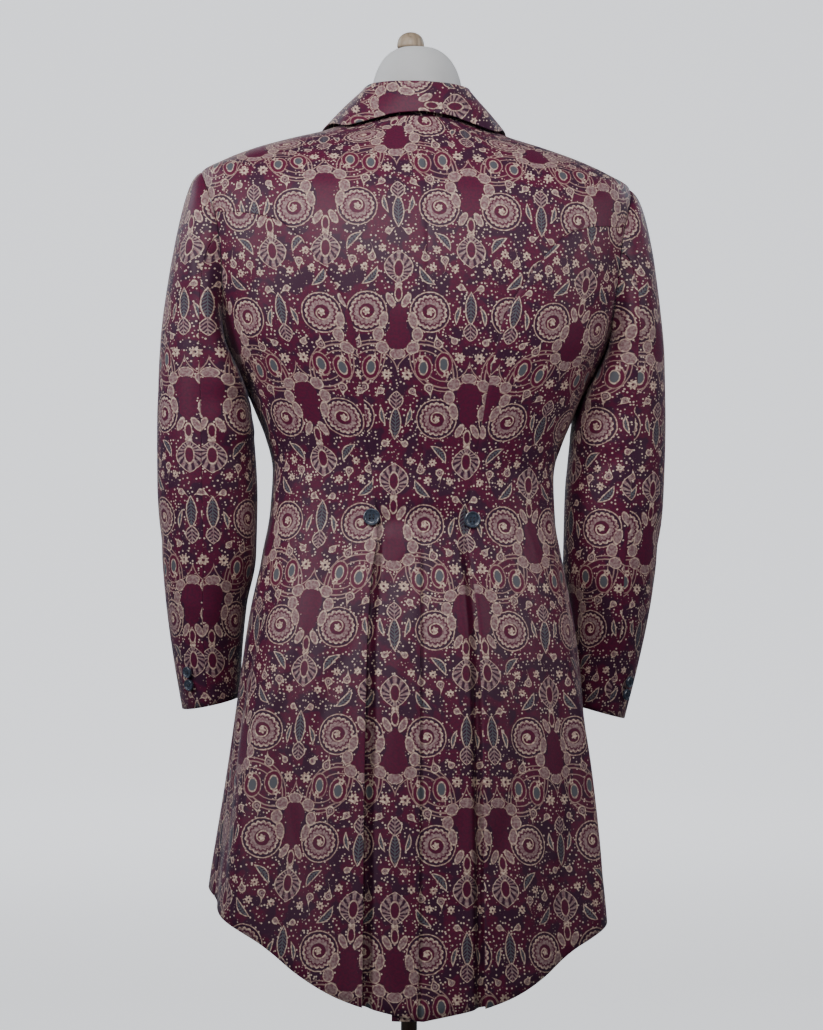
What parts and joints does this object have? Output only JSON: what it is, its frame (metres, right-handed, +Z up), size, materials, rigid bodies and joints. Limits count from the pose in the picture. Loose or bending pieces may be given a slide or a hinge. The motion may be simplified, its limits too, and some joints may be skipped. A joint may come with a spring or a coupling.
{
  "type": "frock coat on dress form",
  "caption": "Knee-length frock coat in paisley brocade with a pleated back skirt and centre vent, worn by a limbless dress form on a pole.",
  "frame": {"origin": "centre of the flat underside of the round base, on the axis of the pole", "axes": "+Z up along the pole; -Y towards the front of the coat and +Y towards its back; +X towards the wearer's left"},
  "size_m": [0.6186, 0.3438, 1.6448],
  "materials": {
    "brocade": "satin-ground jacquard brocade, burgundy with gold and grey paisley",
    "button": "dark slate blue with a raised rim",
    "form_cover": "plain stretched cotton cover",
    "form_neck": "plain white cover",
    "finial_wood": "turned pale wood, satin",
    "stand_wood": "dark stained wood, satin"
  },
  "bodies": {
    "root": {"back_left": "brocade", "back_right": "brocade", "side_back_left": "brocade", "side_back_right": "brocade", "pleat_left": "brocade", "pleat_right": "brocade", "forepart_left": "brocade", "forepart_right": "brocade", "lapel_left": "brocade", "lapel_right": "brocade", "collar": "brocade", "top_sleeve_left": "brocade", "top_sleeve_right": "brocade", "under_sleeve_left": "brocade", "under_sleeve_right": "brocade", "waist_button_left": "button", "waist_button_right": "button", "front_button_1": "button", "front_button_2": "button", "front_button_3": "button", "cuff_button_left_1": "button", "cuff_button_left_2": "button", "cuff_button_right_1": "button", "cuff_button_right_2": "button", "form_torso": "form_cover", "form_neck": "form_neck", "finial": "finial_wood", "pole": "stand_wood", "base_disc": "stand_wood"}
  },
  "joints": []
}
